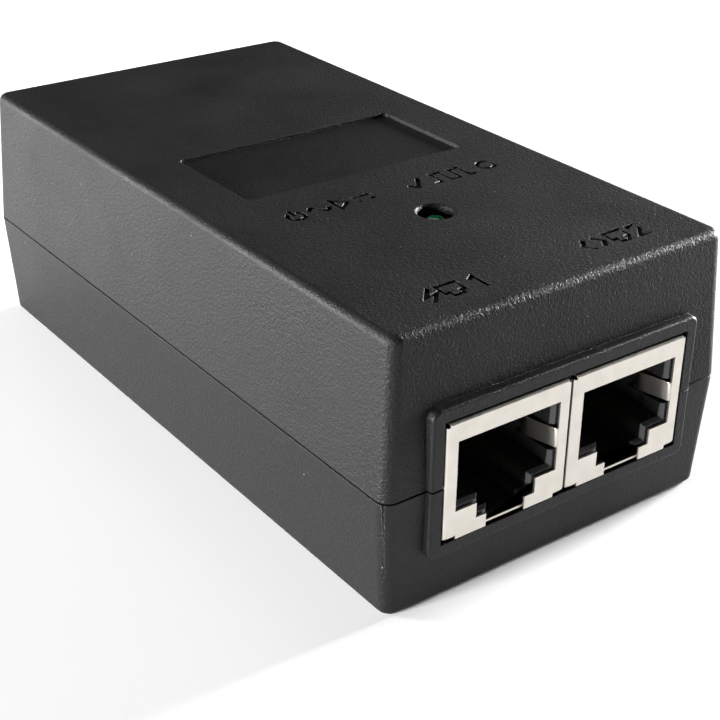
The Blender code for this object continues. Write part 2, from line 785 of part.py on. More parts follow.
def ring_tube(mesh, centre, ring_radius, half_z, half_r, start, end, steps, hollow=None):
    # Rectangular section swept round a vertical axis from start to end; hollow leaves a bore along it
    x, y, z = centre
    closed = end - start > 2 * pi - 0.01
    sections = []
    for step in range(steps if closed else steps + 1):
        angle = start + (end - start) * step / steps
        rows = []
        for reach_r, reach_z in [(half_r, half_z)] + ([hollow] if hollow else []):
            corners = []
            for side_r, side_z in ((-1, -1), (1, -1), (1, 1), (-1, 1)):
                radius = ring_radius + side_r * reach_r
                corner = (x + radius * cos(angle), y + radius * sin(angle), z + side_z * reach_z)
                corners.append(mesh.verts.new(corner))
            rows.append(corners)
        sections.append(rows)
    pairs = list(zip(sections, sections[1:])) + ([(sections[-1], sections[0])] if closed else [])
    for here, after in pairs:
        for first, second in zip(here, after):
            for corner in range(4):
                following = (corner + 1) % 4
                mesh.faces.new((first[corner], first[following], second[following], second[corner]))
    if not closed:
        for rows in (sections[0], sections[-1]):
            for corner in range(4):
                following = (corner + 1) % 4
                if hollow:
                    mesh.faces.new((rows[0][corner], rows[0][following], rows[1][following], rows[1][corner]))
            if not hollow:
                mesh.faces.new(rows[0])


def choke(centre, ring_radius=0.0052, half_r=0.0016, half_z=0.0025, gap=0.0003, coil=0.0009):
    z = board_top + part_gap + half_z + coil + gap
    mesh = bmesh.new()
    ring_tube(mesh, (*centre, z), ring_radius, half_z, half_r, 0.0, 2 * pi, 28)
    finish("choke_core", mesh, ferrite_grey, smooth=radians(30))
    bore = (half_r + gap, half_z + gap)
    for word, start in (("line", radians(15)), ("neutral", radians(195))):
        mesh = bmesh.new()
        ring_tube(mesh, (*centre, z), ring_radius, half_z + gap + coil, half_r + gap + coil, start,
                  start + radians(150), 14, bore)
        finish(f"choke_winding_{word}", mesh, copper, smooth=radians(30))


def heat_sink(name, centre, width, depth, height, thickness, facing):
    # Upright sheet with a short foot, facing +X or -X
    x, y = centre
    base = board_top + part_gap
    outer, inner = x - facing * depth / 2, x + facing * depth / 2
    outline = [(outer, base), (inner, base), (inner, base + thickness),
               (outer + facing * thickness, base + thickness),
               (outer + facing * thickness, base + height), (outer, base + height)]
    mesh = bmesh.new()
    add_prism(mesh, outline, y - width / 2, y + width / 2, "Y")
    return finish(name, mesh, sink_aluminium)


def power_parts():
    transformer((0.0020, -0.0100))
    choke((-0.0105, 0.0112))
    block("mains_fuse", (0.0145, 0.0212), (0.0085, 0.0050, 0.0042), fuse_brown)
    block("interference_capacitor", (0.0043, 0.0164), (0.0110, 0.0060, 0.0110), box_yellow)
    block("bridge_rectifier", (0.0155, 0.0130), (0.0062, 0.0085, 0.0034), epoxy_black)
    can("bulk_capacitor", (0.0050, 0.0062), 0.0065, 0.0190, sleeve_black)
    can("output_capacitor", (-0.0132, -0.0163), 0.0040, 0.0140, sleeve_black)
    heat_sink("primary_heat_sink", (0.0170, 0.0015), 0.0120, 0.0040, 0.0160, 0.0012, -1)
    heat_sink("output_heat_sink", (-0.0170, -0.0030), 0.0110, 0.0040, 0.0150, 0.0012, 1)
    block("switching_transistor", (0.0150, -0.0075), (0.0045, 0.0040, 0.0090), epoxy_black)
    block("output_diode", (-0.0120, -0.0030), (0.0045, 0.0040, 0.0080), epoxy_black)
    block("feedback_coupler", (-0.0120, -0.0089), (0.0046, 0.0050, 0.0036), epoxy_black)
    block("control_chip", (0.0160, -0.0150), (0.0050, 0.0040, 0.0016), epoxy_black)


top_cover()
bottom_case()
rating_label()
circuit_board()
for socket_name, socket_side in (("poe", -1), ("lan", 1)):
    socket_x = socket_side * socket_pitch / 2
    socket_shield(socket_name, socket_x)
    socket_housing(socket_name, socket_x)
    socket_wires(socket_name, socket_x)
    socket_fingers(socket_name, socket_x)
mains_inlet()
status_lamp()
power_parts()
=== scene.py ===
from math import cos, pi, radians, sin, tan

import bmesh
import bpy
from mathutils import Matrix, Vector


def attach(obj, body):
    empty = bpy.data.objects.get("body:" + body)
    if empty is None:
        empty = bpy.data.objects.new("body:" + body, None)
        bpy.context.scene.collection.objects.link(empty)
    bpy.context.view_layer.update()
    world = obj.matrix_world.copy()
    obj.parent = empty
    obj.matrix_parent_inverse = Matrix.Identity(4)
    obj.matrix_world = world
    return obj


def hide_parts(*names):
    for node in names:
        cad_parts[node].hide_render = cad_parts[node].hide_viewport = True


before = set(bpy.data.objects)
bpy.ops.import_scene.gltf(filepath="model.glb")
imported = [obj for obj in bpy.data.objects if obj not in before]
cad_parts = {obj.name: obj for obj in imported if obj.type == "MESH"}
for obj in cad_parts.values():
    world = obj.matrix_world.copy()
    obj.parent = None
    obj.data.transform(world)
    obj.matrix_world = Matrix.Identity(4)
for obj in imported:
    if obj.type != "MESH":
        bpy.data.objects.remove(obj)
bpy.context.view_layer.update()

mm = 0.001
near = 0.02 * mm  # a point this close to a plane lies on it
straight = 0.95  # how much of a direction runs along an axis, for it to count as running along it


# Helpers

def toLinear(code):
    channels = [int(code[at:at + 2], 16) / 255 for at in (1, 3, 5)]
    return (*[c / 12.92 if c <= 0.04045 else ((c + 0.055) / 1.055) ** 2.4 for c in channels], 1.0)


def addNode(tree, kind, settings={}, links={}):
    # a setting is one of the node's own, such as its operation, or else the value of an input
    node = tree.nodes.new(kind)
    for name, value in settings.items():
        if str(name) in node.bl_rna.properties.keys():
            setattr(node, name, value)
        else:
            node.inputs[name].default_value = value
    for name, source in links.items():
        tree.links.new(source, node.inputs[name])
    return node


def newFinish(name, settings):
    material = bpy.data.materials.new(name)
    material.use_nodes = True
    tree = material.node_tree
    shader = tree.nodes["Principled BSDF"]
    for socket, value in settings.items():
        shader.inputs[socket].default_value = value
    material.diffuse_color = shader.inputs["Base Color"].default_value
    return material, tree, shader


def deselectAll():
    bpy.ops.object.select_all(action="DESELECT")


def activate(piece):
    deselectAll()
    piece.select_set(True)
    bpy.context.view_layer.objects.active = piece


def openMesh(piece, mode):
    # into edit mode with nothing selected
    activate(piece)
    bpy.ops.object.mode_set(mode="EDIT")
    bpy.ops.mesh.select_mode(type=mode)
    bpy.ops.mesh.select_all(action="DESELECT")
    return bmesh.from_edit_mesh(piece.data)


def closeMesh():
    bpy.ops.object.mode_set(mode="OBJECT")


def pickEdges(piece, test):
    mesh = openMesh(piece, "EDGE")
    mesh.normal_update()
    count = 0
    for edge in mesh.edges:
        if len(edge.link_faces) == 2 and test(edge):
            edge.select_set(True)
            count += 1
    bmesh.update_edit_mesh(piece.data)
    return count


def softenEdges(piece, test, width, segments):
    # rounds the edges that pass the test
    count = pickEdges(piece, test)
    if count:
        bpy.ops.mesh.bevel(offset=width, segments=segments, profile=0.5, affect="EDGES", clamp_overlap=True)
    closeMesh()
    return count


def copyOfNode(node, name, merge=0.002 * mm, flatWithin=0.4):
    # a merged copy of a CAD node, with its flat faces joined again
    piece = bpy.data.objects.new(name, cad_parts[node].data.copy())
    bpy.context.scene.collection.objects.link(piece)
    piece.data.materials.clear()
    openMesh(piece, "VERT")
    bpy.ops.mesh.select_all(action="SELECT")
    bpy.ops.mesh.remove_doubles(threshold=merge)
    bpy.ops.mesh.dissolve_limited(angle_limit=radians(flatWithin))
    closeMesh()
    return piece


def addModifier(piece, kind, settings):
    activate(piece)
    modifier = piece.modifiers.new(kind.title(), kind)
    for name, value in settings.items():
        setattr(modifier, name, value)
    bpy.ops.object.modifier_apply(modifier=modifier.name)


def isCreased(edge, degrees=50):
    return edge.calc_face_angle(0.0) > radians(degrees)


def smoothOver(piece, degrees):
    # smooth shading, apart from edges sharper than this
    activate(piece)
    bpy.ops.object.shade_smooth_by_angle(angle=radians(degrees))
    addModifier(piece, "WEIGHTED_NORMAL", {"keep_sharp": True, "weight": 60})


def standFor(piece, nodes, body):
    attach(piece, body)
    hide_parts(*nodes)


# Camera

camera = {
    "place": Vector((-93.13, -134.41, 91.79)) * mm,
    "turn": radians(36.421),  # to the right of straight ahead
    "fall": radians(28.404),
    "roll": radians(0.628),
    "lens": 73.42, "sensor": 36, "nearest": 5 * mm,
}


def makeCamera():
    turn, fall, roll = camera["turn"], camera["fall"], camera["roll"]
    ahead = Vector((sin(turn) * cos(fall), cos(turn) * cos(fall), -sin(fall)))
    right = Vector((cos(turn), -sin(turn), 0.0))
    up = right.cross(ahead)
    rolledRight = right * cos(roll) + up * sin(roll)
    rolledUp = up * cos(roll) - right * sin(roll)
    made = bpy.data.objects.new("Camera", bpy.data.cameras.new("Camera"))
    bpy.context.scene.collection.objects.link(made)
    turned = Matrix((rolledRight, rolledUp, -ahead)).transposed().to_4x4()
    made.matrix_world = Matrix.Translation(camera["place"]) @ turned
    made.data.lens = camera["lens"]
    made.data.sensor_width = camera["sensor"]
    made.data.clip_start = camera["nearest"]
    bpy.context.scene.camera = made


makeCamera()
print("camera placed")


# Studio

studio = {
    "floorTone": "#f4f4f4", "floorSize": 1.2,
    "floorGlow": 0.06,  # a little light of its own, which softens the shadows
    "toothPerMetre": 900.0, "toothDepth": 0.05 * mm,
    "sky": 0.01, "skySeen": 1.0,  # a dim room round a white surround
    "lamps": [
        # name, place, side of the square box, watts; each one faces the middle of the floor
        ("rearHighBox", (0.0, 0.707, 0.707), 0.50, 0.8),
        ("overheadBox", (0.265, 0.265, 0.927), 0.50, 1.0),
        ("leftLowBox", (-0.990, 0.0, 0.139), 0.25, 36.0),
        ("rearLeftLowBox", (-0.700, 0.700, 0.139), 0.25, 17.0),
        ("rearRightLowBox", (0.700, 0.700, 0.139), 0.25, 0.15),
        ("rightLowBox", (0.990, 0.0, 0.139), 0.25, 56.0),
    ],
}


def makeFloor():
    # paper, pressed smooth: matt white with a faint tooth
    deselectAll()
    bpy.ops.mesh.primitive_plane_add(size=studio["floorSize"], location=(0, 0, 0))
    floor = bpy.context.object
    floor.name = "studioFloor"
    paper, tree, shader = newFinish("white seamless paper", {
        "Base Color": toLinear(studio["floorTone"]), "Roughness": 0.9, "Specular IOR Level": 0.2,
        "Emission Color": (1.0, 1.0, 1.0, 1.0), "Emission Strength": studio["floorGlow"]})
    place = addNode(tree, "ShaderNodeTexCoord")
    tooth = addNode(tree, "ShaderNodeTexNoise", {"Scale": studio["toothPerMetre"], "Detail": 3.0},
                    {"Vector": place.outputs["Object"]})
    bump = addNode(tree, "ShaderNodeBump", {"Strength": 0.1, "Distance": studio["toothDepth"]},
                   {"Height": tooth.outputs["Fac"]})
    tree.links.new(bump.outputs["Normal"], shader.inputs["Normal"])
    floor.data.materials.append(paper)


def makeRoom():
    world = bpy.data.worlds.new("studioRoom")
    world.use_nodes = True
    background = world.node_tree.nodes["Background"]
    background.inputs["Color"].default_value = (1.0, 1.0, 1.0, 1.0)
    path = addNode(world.node_tree, "ShaderNodeLightPath")
    strength = addNode(world.node_tree, "ShaderNodeMapRange",
                       {"To Min": studio["sky"], "To Max": studio["skySeen"]},
                       {"Value": path.outputs["Is Camera Ray"]})
    world.node_tree.links.new(strength.outputs["Result"], background.inputs["Strength"])
    bpy.context.scene.world = world
    bpy.context.scene.view_settings.view_transform = "Standard"


def makeLamps():
    for name, place, side, watts in studio["lamps"]:
        lamp = bpy.data.objects.new(name, bpy.data.lights.new(name, "AREA"))
        bpy.context.scene.collection.objects.link(lamp)
        lamp.data.shape = "SQUARE"
        lamp.data.size = side
        lamp.data.energy = watts
        lamp.location = place
        lamp.rotation_euler = (-Vector(place)).to_track_quat("-Z", "Y").to_euler()


makeFloor()
makeRoom()
makeLamps()
print("studio lit")


# Finishes of the case

leatherGrain = {
    "tone": "#0e0e0f", "dustTone": "#77756f", "gloss": 0.20,
    "pebble": 0.30 * mm, "pebbleDepth": 0.105 * mm,
    "pore": 0.13 * mm, "poreDepth": 0.024 * mm, "rimRound": 0.20 * mm,
    "cloud": 11 * mm, "roughFrom": 0.44, "roughTo": 0.58,
    "dustSpacing": 3.4 * mm, "dustSize": 0.016, "dustEnd": 0.016 * 1.6,  # sizes are shares of the spacing
}
satinGrain = dict(leatherGrain, pebble=0.27 * mm, pebbleDepth=0.085 * mm,
                  pore=0.09 * mm, poreDepth=0.010 * mm, roughFrom=0.38, roughTo=0.48)


def makeMouldedPlastic(name, look):
    # ABS, moulded in an etched mould: dull black, whose low hills catch the light as fine flecks
    material, tree, shader = newFinish(name, {
        "Base Color": toLinear(look["tone"]), "IOR": 1.52, "Specular IOR Level": look["gloss"]})
    place = addNode(tree, "ShaderNodeTexCoord").outputs["Object"]
    pebbles = addNode(tree, "ShaderNodeTexNoise",
                      {"Scale": 1 / look["pebble"], "Detail": 2.5, "Roughness": 0.55, "Distortion": 0.6},
                      {"Vector": place})
    pores = addNode(tree, "ShaderNodeTexNoise", {"Scale": 1 / look["pore"], "Detail": 1.0},
                    {"Vector": place})
    rims = addNode(tree, "ShaderNodeBevel", {"samples": 6, "Radius": look["rimRound"]})
    coarse = addNode(tree, "ShaderNodeBump", {"Strength": 1.0, "Distance": look["pebbleDepth"]},
                     {"Height": pebbles.outputs["Fac"], "Normal": rims.outputs["Normal"]})
    fine = addNode(tree, "ShaderNodeBump", {"Strength": 1.0, "Distance": look["poreDepth"]},
                   {"Height": pores.outputs["Fac"], "Normal": coarse.outputs["Normal"]})
    tree.links.new(fine.outputs["Normal"], shader.inputs["Normal"])

    clouds = addNode(tree, "ShaderNodeTexNoise", {"Scale": 1 / look["cloud"], "Detail": 4.0},
                     {"Vector": place})
    rough = addNode(tree, "ShaderNodeMapRange",
                    {"From Min": 0.3, "From Max": 0.7,
                     "To Min": look["roughFrom"], "To Max": look["roughTo"]},
                    {"Value": clouds.outputs["Fac"]})
    tree.links.new(rough.outputs["Result"], shader.inputs["Roughness"])

    specks = addNode(tree, "ShaderNodeTexVoronoi", {"Scale": 1 / look["dustSpacing"], "Randomness": 1.0},
                     {"Vector": place})
    onSpeck = addNode(tree, "ShaderNodeMapRange",
                      {"From Min": look["dustSize"], "From Max": look["dustEnd"],
                       "To Min": 1.0, "To Max": 0.0},
                      {"Value": specks.outputs["Distance"]})
    tint = addNode(tree, "ShaderNodeMix",
                   {"data_type": "RGBA", 6: toLinear(look["tone"]), 7: toLinear(look["dustTone"])},
                   {0: onSpeck.outputs["Result"]})
    tree.links.new(tint.outputs[2], shader.inputs["Base Color"])
    return material


leatherBlack = makeMouldedPlastic("ABS moulded in leather grain", leatherGrain)
satinBlack = makeMouldedPlastic("ABS moulded in fine satin", satinGrain)


# Case shells

caseShape = {
    "top": 31.0 * mm, "parting": 13.8 * mm, "halfGroove": 0.1 * mm,
    "frameFace": 44.1 * mm, "frameFoot": 42.0 * mm, "satinFrom": 43.75 * mm,
    "pocketFloor": (30.4 * mm, 30.6 * mm),
    "outsideX": 22.9 * mm, "outsideY": 43.2 * mm,  # past these is the outer face
    "rimRound": 0.10 * mm, "frameFillet": 0.16 * mm, "windowRound": 0.08 * mm, "partingRound": 0.05 * mm,
}


def softenShell(piece, lipHeight):
    # the rounds and fillets that both shells have
    def onFrameFoot(edge):
        flat = [f for f in edge.link_faces if abs(f.normal.y) > 0.98]
        isCorner = len(flat) == 1 and isCreased(edge) and not edge.is_convex
        return isCorner and all(abs(v.co.y) > caseShape["frameFoot"] for v in edge.verts)

    def onWindow(edge):
        onFace = all(abs(v.co.y) > caseShape["frameFace"] - near for v in edge.verts)
        return onFace and isCreased(edge) and edge.is_convex

    def onParting(edge):
        isOutside = any(abs(v.co.x) > caseShape["outsideX"] or abs(v.co.y) > caseShape["outsideY"]
                        for v in edge.verts)
        return isOutside and isCreased(edge) and all(abs(v.co.z - lipHeight) < near for v in edge.verts)

    print("  frame foot", softenEdges(piece, onFrameFoot, caseShape["frameFillet"], 3))
    print("  window", softenEdges(piece, onWindow, caseShape["windowRound"], 2))
    print("  parting", softenEdges(piece, onParting, caseShape["partingRound"], 2))
    smoothOver(piece, 32)


def makeCaseTop():
    piece = copyOfNode("top_cover", "caseTop")

    def onTopRim(edge):
        return isCreased(edge, 30) and all(v.co.z > caseShape["top"] - near for v in edge.verts)

    print("  rims", softenEdges(piece, onTopRim, caseShape["rimRound"], 3))
    softenShell(piece, caseShape["parting"] + caseShape["halfGroove"])

    piece.data.materials.append(leatherBlack)
    piece.data.materials.append(satinBlack)
    low, high = caseShape["pocketFloor"]
    for face in piece.data.polygons:
        onFrame = abs(face.center.y) > caseShape["satinFrom"]
        inPocket = face.normal.z > 0.9 and low < face.center.z < high
        face.material_index = 1 if onFrame or inPocket else 0
    standFor(piece, ["top_cover"], "case")


def makeCaseBottom():
    piece = copyOfNode("bottom_case", "caseBottom")
    softenShell(piece, caseShape["parting"] - caseShape["halfGroove"])
    piece.data.materials.append(satinBlack)
    standFor(piece, ["bottom_case"], "case")


makeCaseTop()
makeCaseBottom()
print("case shells made")


# Socket shields

shieldShape = {
    "pitch": 16.38 * mm, "face": -44.2 * mm, "sheet": 0.25 * mm,
    "cornerRound": 0.20 * mm, "edgeRound": 0.045 * mm, "rim": 0.01 * mm,
}
sockets = {"poe": -1, "lan": 1}  # each socket's side of the middle


def makeTinPlate():
    # tin-plated steel, rolled then stamped: bright warm grey with faint rolling lines and a soft bloom
    look = {"tone": "#d6d1ca", "dull": "#bdb8af", "line": 0.06 * mm, "bloom": 2.2 * mm, "dent": 1.3 * mm}
    material, tree, shader = newFinish("tin-plated rolled steel", {
        "Base Color": toLinear(look["tone"]), "Metallic": 1.0, "Roughness": 0.3})
    place = addNode(tree, "ShaderNodeTexCoord").outputs["Object"]
    drawn = addNode(tree, "ShaderNodeMapping", {"Scale": (0.06, 0.06, 1.0)},
                    {"Vector": place}).outputs["Vector"]
    lines = addNode(tree, "ShaderNodeTexNoise", {"Scale": 1 / look["line"], "Detail": 2.0},
                    {"Vector": drawn})
    bloom = addNode(tree, "ShaderNodeTexNoise", {"Scale": 1 / look["bloom"], "Detail": 3.0},
                    {"Vector": place})
    dents = addNode(tree, "ShaderNodeTexNoise", {"Scale": 1 / look["dent"], "Detail": 1.0},
                    {"Vector": place})
    tones = addNode(tree, "ShaderNodeMix",
                    {"data_type": "RGBA", 6: toLinear(look["tone"]), 7: toLinear(look["dull"])},
                    {0: bloom.outputs["Fac"]})
    tree.links.new(tones.outputs[2], shader.inputs["Base Color"])
    rough = addNode(tree, "ShaderNodeMapRange",
                    {"From Min": 0.3, "From Max": 0.7, "To Min": 0.28, "To Max": 0.42},
                    {"Value": lines.outputs["Fac"]})
    tree.links.new(rough.outputs["Result"], shader.inputs["Roughness"])
    wavy = addNode(tree, "ShaderNodeBump", {"Strength": 0.6, "Distance": 0.02 * mm},
                   {"Height": dents.outputs["Fac"]})
    scored = addNode(tree, "ShaderNodeBump", {"Strength": 0.5, "Distance": 0.001 * mm},
                     {"Height": lines.outputs["Fac"], "Normal": wavy.outputs["Normal"]})
    tree.links.new(scored.outputs["Normal"], shader.inputs["Normal"])
    return material


tinPlate = makeTinPlate()


def makeShield(socket):
    piece = copyOfNode(f"{socket}_shield", f"{socket}Shield")
    face, sheet, rim = shieldShape["face"], shieldShape["sheet"], shieldShape["rim"]

    def onPlateCorner(edge):
        along = (edge.verts[1].co - edge.verts[0].co).normalized()
        inPlate = all(v.co.y < face + 1.8 * sheet for v in edge.verts)
        return inPlate and abs(along.y) > straight and isCreased(edge)

    def onPlateRim(edge):
        return isCreased(edge) and edge.is_convex and all(v.co.y < face + rim for v in edge.verts)

    print(f"  {socket} corners", softenEdges(piece, onPlateCorner, shieldShape["cornerRound"], 4))
    print(f"  {socket} rims", softenEdges(piece, onPlateRim, shieldShape["edgeRound"], 2))
    smoothOver(piece, 35)
    piece.data.materials.append(tinPlate)
    standFor(piece, [f"{socket}_shield"], "case")


for socket in sockets:
    makeShield(socket)
print("shields made")


# Plastic inside the shields

def makeSocketPlastic(name, tone):
    # glass-filled PBT, moulded smooth: a half gloss with faint flow marks
    look = {"flow": 1.6 * mm, "fleck": 0.09 * mm}
    material, tree, shader = newFinish(name, {"Base Color": toLinear(tone), "IOR": 1.55})
    place = addNode(tree, "ShaderNodeTexCoord").outputs["Object"]
    flow = addNode(tree, "ShaderNodeTexNoise", {"Scale": 1 / look["flow"], "Detail": 3.0, "Distortion": 1.2},
                   {"Vector": place})
    fleck = addNode(tree, "ShaderNodeTexNoise", {"Scale": 1 / look["fleck"], "Detail": 1.0},
                    {"Vector": place})
    rough = addNode(tree, "ShaderNodeMapRange",
                    {"From Min": 0.3, "From Max": 0.7, "To Min": 0.26, "To Max": 0.36},
                    {"Value": flow.outputs["Fac"]})
    tree.links.new(rough.outputs["Result"], shader.inputs["Roughness"])
    bump = addNode(tree, "ShaderNodeBump", {"Strength": 0.6, "Distance": 0.003 * mm},
                   {"Height": fleck.outputs["Fac"]})
    tree.links.new(bump.outputs["Normal"], shader.inputs["Normal"])
    return material


socketPlastic = makeSocketPlastic("glass-filled PBT", "#38383a")


housingShape = {"mouthDepth": 0.45 * mm, "mouthRound": 0.06 * mm}


def makeHousing(socket):
    piece = copyOfNode(f"{socket}_housing", f"{socket}Housing")
    front = min(v.co.y for v in piece.data.vertices)

    def onMouth(edge):
        return isCreased(edge, 25) and all(v.co.y < front + housingShape["mouthDepth"] for v in edge.verts)

    print(f"  {socket} mouth", softenEdges(piece, onMouth, housingShape["mouthRound"], 2))
    smoothOver(piece, 35)
    piece.data.materials.append(socketPlastic)
    standFor(piece, [f"{socket}_housing"], "case")


for socket in sockets:
    makeHousing(socket)
print("housings made")


# Sprung wires

wire = {
    "count": 8, "pitch": 1.02 * mm, "size": 0.40 * mm, "edgeRound": 0.09 * mm,
    "root": (-42.40 * mm, 18.95 * mm),  # y and z where the wire leaves its slot
    "length": 11.0 * mm, "slope": radians(16.5), "bendStart": 0.5 * mm,
    "tip": [(0.0, 0.035), (0.4, 0.055), (1.2, 0.144)],  # behind and above the slope's end, in mm
}


def makeGold():
    # phosphor bronze with a thin gold flash: deep yellow, a little smeared where a plug has wiped it
    look = {"tone": "#d8a64a", "worn": "#b98238", "smear": 0.8 * mm}
    material, tree, shader = newFinish("gold-flashed bronze", {
        "Base Color": toLinear(look["tone"]), "Metallic": 1.0, "Roughness": 0.25})
    place = addNode(tree, "ShaderNodeTexCoord").outputs["Object"]
    wiped = addNode(tree, "ShaderNodeMapping", {"Scale": (1.0, 0.2, 1.0)},
                    {"Vector": place}).outputs["Vector"]
    smear = addNode(tree, "ShaderNodeTexNoise", {"Scale": 1 / look["smear"], "Detail": 4.0},
                    {"Vector": wiped})
    tones = addNode(tree, "ShaderNodeMix",
                    {"data_type": "RGBA", 6: toLinear(look["tone"]), 7: toLinear(look["worn"])},
                    {0: smear.outputs["Fac"]})
    tree.links.new(tones.outputs[2], shader.inputs["Base Color"])
    rough = addNode(tree, "ShaderNodeMapRange",
                    {"From Min": 0.3, "From Max": 0.7, "To Min": 0.18, "To Max": 0.32},
                    {"Value": smear.outputs["Fac"]})
    tree.links.new(rough.outputs["Result"], shader.inputs["Roughness"])
    return material


goldFlash = makeGold()


def makeWire(name, x):
    y, z = wire["root"]
    endY, endZ = y + wire["length"] * cos(wire["slope"]), z - wire["length"] * sin(wire["slope"])
    path = [(y, z), (endY - wire["bendStart"], endZ + wire["bendStart"] * tan(wire["slope"]))]
    path += [(endY + behind * mm, endZ + above * mm) for behind, above in wire["tip"]]
    deselectAll()
    bpy.ops.mesh.primitive_plane_add(size=wire["size"], location=(x, y, z), rotation=(pi / 2, 0, 0))
    piece = bpy.context.object
    piece.name = name
    bpy.ops.object.transform_apply(location=True, rotation=True, scale=True)
    bpy.ops.object.mode_set(mode="EDIT")
    bpy.ops.mesh.select_all(action="SELECT")
    for here, after in zip(path, path[1:]):
        bpy.ops.mesh.extrude_region_move(
            TRANSFORM_OT_translate={"value": (0, after[0] - here[0], after[1] - here[1])})
    bpy.ops.mesh.select_all(action="SELECT")
    bpy.ops.mesh.normals_make_consistent(inside=False)
    closeMesh()
    softenEdges(piece, lambda edge: isCreased(edge, 60), wire["edgeRound"], 2)
    smoothOver(piece, 40)
    piece.data.materials.append(goldFlash)
    return piece


def placeCopy(piece, name, shift):
    copied = bpy.data.objects.new(name, piece.data.copy())
    bpy.context.scene.collection.objects.link(copied)
    copied.data.transform(Matrix.Translation(shift))
    return copied


def makeWires():
    half = (wire["count"] - 1) / 2 * wire["pitch"]
    first = makeWire("poeWire1", -shieldShape["pitch"] / 2 - half)
    for socket, side in (("poe", 0), ("lan", 1)):
        for index in range(wire["count"]):
            shift = Vector((side * shieldShape["pitch"] + index * wire["pitch"], 0, 0))
            made = first if side == index == 0 else placeCopy(first, f"{socket}Wire{index + 1}", shift)
            standFor(made, [f"{socket}_contact_{index + 1}"], f"{socket}_wires")


makeWires()
print("wires made")


# Earthing fingers, bent in from the sides of each mouth

finger = {
    "low": 13.3 * mm, "high": 15.5 * mm, "thick": 0.18 * mm,
    # distance from the middle of the socket, and behind the plate's face, in mm
    "path": [
        (6.66, 0.10), (6.60, 0.13), (6.52, 0.19), (6.47, 0.28), (6.42, 0.45), (6.22, 1.25), (6.00, 2.15),
        (5.80, 2.95), (5.70, 3.35), (5.64, 3.62), (5.63, 3.85), (5.66, 4.08), (5.75, 4.40), (5.92, 4.85),
    ],
    "edgeRound": 0.05 * mm, "tipRound": 0.35 * mm, "tipReach": 0.15 * mm, "tipEdge": 0.25 * mm,
}


def makeFinger(name, middle, side):
    across = finger["high"] - finger["low"]
    points = [Vector((middle + side * x * mm, shieldShape["face"] + y * mm, finger["low"]))
              for x, y in finger["path"]]
    deselectAll()
    bpy.ops.mesh.primitive_plane_add(size=across, location=points[0] + Vector((0, 0, across / 2)))
    piece = bpy.context.object
    piece.name = name
    bpy.ops.object.transform_apply(location=True, rotation=True, scale=True)
    mesh = openMesh(piece, "VERT")
    mesh.verts.ensure_lookup_table()
    for vert in mesh.verts[2:]:
        vert.select_set(True)
    bpy.ops.mesh.delete(type="VERT")
    mesh = bmesh.from_edit_mesh(piece.data)
    for vert, height in zip(mesh.verts, (0.0, across)):
        vert.co = points[0] + Vector((0, 0, height))
        vert.select_set(True)
    mesh.select_flush(True)
    bmesh.update_edit_mesh(piece.data)
    for here, after in zip(points, points[1:]):
        bpy.ops.mesh.extrude_region_move(TRANSFORM_OT_translate={"value": after - here})
    bpy.ops.mesh.select_all(action="SELECT")
    bpy.ops.mesh.normals_make_consistent(inside=False)
    closeMesh()
    addModifier(piece, "SOLIDIFY", {"thickness": finger["thick"], "offset": 0.0})

    def onTipCorner(edge):
        isLevel = abs((edge.verts[0].co - edge.verts[1].co).z) < near
        atTip = min(v.co.y for v in edge.verts) > points[-1].y - finger["tipReach"]
        return isLevel and atTip and isCreased(edge) and edge.calc_length() < finger["tipEdge"]

    softenEdges(piece, onTipCorner, finger["tipRound"], 4)
    softenEdges(piece, isCreased, finger["edgeRound"], 2)
    smoothOver(piece, 40)
    piece.data.materials.append(tinPlate)
    node = name.replace("Finger", "_finger_").lower()
    standFor(piece, [node], node)


for socket, side in sockets.items():
    for word, hand in (("Left", -1), ("Right", 1)):
        makeFinger(f"{socket}Finger{word}", side * shieldShape["pitch"] / 2, hand)
print("fingers made")


# Status lamp

lampShape = {
    "x": 0.0, "y": -21.55 * mm, "top": 30.45 * mm, "base": 24.4 * mm, "radius": 1.5 * mm,
    "dome": 1.42 * mm, "flangeRadius": 1.8 * mm, "flangeHeight": 1.0 * mm, "flangeRound": 0.08 * mm,
}


def makeLampEpoxyWithPaintedGlow():
    # tinted epoxy, cast: clear deep green with a wet gloss, cloudier towards the chip; its main tone is a
    # bright mint well above the epoxy's own green, a painted glow and highlight that lifts the unlit lamp
    # out of the shade of its hole
    look = {"tone": "#2fc586", "deep": "#178a58", "cloud": 0.9 * mm}
    material, tree, shader = newFinish("green epoxy with painted glow", {
        "Base Color": toLinear(look["tone"]), "Roughness": 0.07, "IOR": 1.53, "Transmission Weight": 0.25,
        "Subsurface Weight": 0.3, "Subsurface Scale": 0.0005})
    place = addNode(tree, "ShaderNodeTexCoord").outputs["Object"]
    cloud = addNode(tree, "ShaderNodeTexNoise", {"Scale": 1 / look["cloud"], "Detail": 2.0},
                    {"Vector": place})
    # the bright mint main tone is painted glow and highlight; the deeper green mixed in by the clouds is the
    # epoxy's own tone
    tones = addNode(tree, "ShaderNodeMix",
                    {"data_type": "RGBA", 6: toLinear(look["tone"]), 7: toLinear(look["deep"])},
                    {0: cloud.outputs["Fac"]})
    tree.links.new(tones.outputs[2], shader.inputs["Base Color"])
    dimple = addNode(tree, "ShaderNodeBump", {"Strength": 0.3, "Distance": 0.01 * mm},
                     {"Height": cloud.outputs["Fac"]})
    tree.links.new(dimple.outputs["Normal"], shader.inputs["Normal"])
    return material


